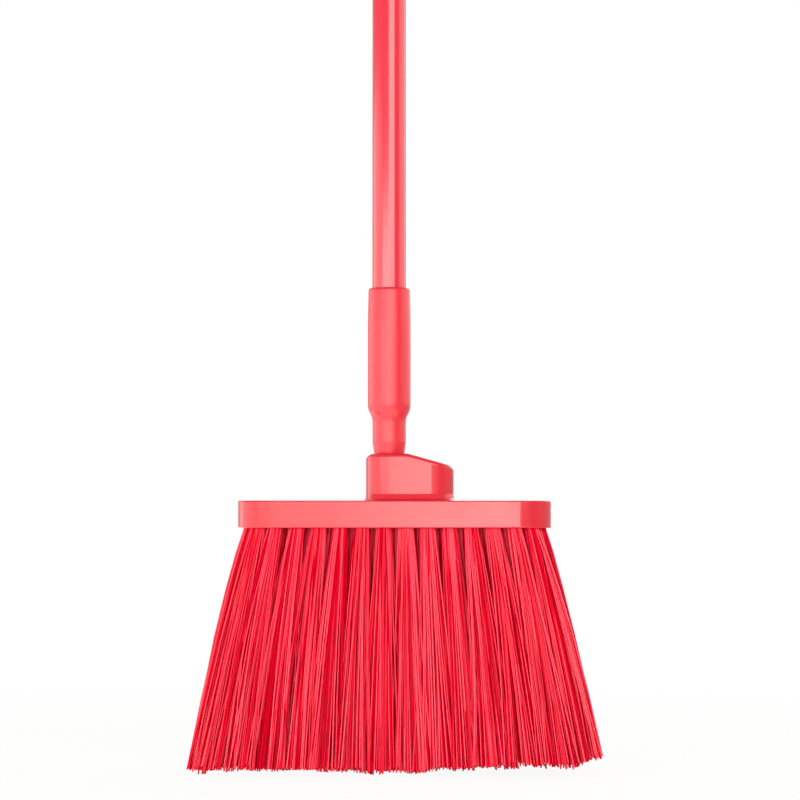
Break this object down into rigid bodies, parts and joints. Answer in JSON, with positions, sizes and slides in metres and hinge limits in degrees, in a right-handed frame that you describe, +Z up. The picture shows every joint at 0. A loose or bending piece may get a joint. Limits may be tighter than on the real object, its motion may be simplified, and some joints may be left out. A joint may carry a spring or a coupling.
{
  "type": "angle broom",
  "caption": "Upright broom with fanned red synthetic bristles set in a moulded block, a hub with a straight and an angled handle socket, and a screw-in coated tube handle.",
  "frame": {"origin": "on the floor under the middle of the block, at the level of the bristle tips", "axes": "+Z up the handle, +X along the block towards the angled socket, +Y away from the viewer"},
  "size_m": [0.3042, 0.0818, 1.4242],
  "materials": {
    "block_plastic": "satin moulded polypropylene, red",
    "bristles": "extruded polyester filament, red, slightly glossy",
    "anchor_wire": "flat drawn steel wire, plain",
    "tip_plastic": "satin moulded polypropylene, red",
    "coated_tube": "smooth red plastic coating on thin steel tube, glossy",
    "cap_plastic": "satin moulded polypropylene, red"
  },
  "bodies": {
    "head": {"brush_block": "block_plastic", "tuft_front_01": "bristles", "tuft_front_02": "bristles", "tuft_front_03": "bristles", "tuft_front_04": "bristles", "tuft_front_05": "bristles", "tuft_front_06": "bristles", "tuft_front_07": "bristles", "tuft_front_08": "bristles", "tuft_front_09": "bristles", "tuft_front_10": "bristles", "tuft_front_11": "bristles", "tuft_front_12": "bristles", "tuft_middle_01": "bristles", "tuft_middle_02": "bristles", "tuft_middle_03": "bristles", "tuft_middle_04": "bristles", "tuft_middle_05": "bristles", "tuft_middle_06": "bristles", "tuft_middle_07": "bristles", "tuft_middle_08": "bristles", "tuft_middle_09": "bristles", "tuft_middle_10": "bristles", "tuft_middle_11": "bristles", "tuft_middle_12": "bristles", "tuft_middle_13": "bristles", "tuft_back_01": "bristles", "tuft_back_02": "bristles", "tuft_back_03": "bristles", "tuft_back_04": "bristles", "tuft_back_05": "bristles", "tuft_back_06": "bristles", "tuft_back_07": "bristles", "tuft_back_08": "bristles", "tuft_back_09": "bristles", "tuft_back_10": "bristles", "tuft_back_11": "bristles", "tuft_back_12": "bristles", "tuft_left_end_1": "bristles", "tuft_left_end_2": "bristles", "tuft_left_end_3": "bristles", "tuft_right_end_1": "bristles", "tuft_right_end_2": "bristles", "tuft_right_end_3": "bristles", "tuft_anchors": "anchor_wire"},
    "handle": {"handle_tip": "tip_plastic", "handle_tube": "coated_tube", "hanging_cap": "cap_plastic"}
  },
  "joints": [
    {"name": "handle_unscrew", "type": "slide", "parent": "head", "child": "handle", "axis": [0, 0, 1], "range_m": [0, 0.045]}
  ]
}
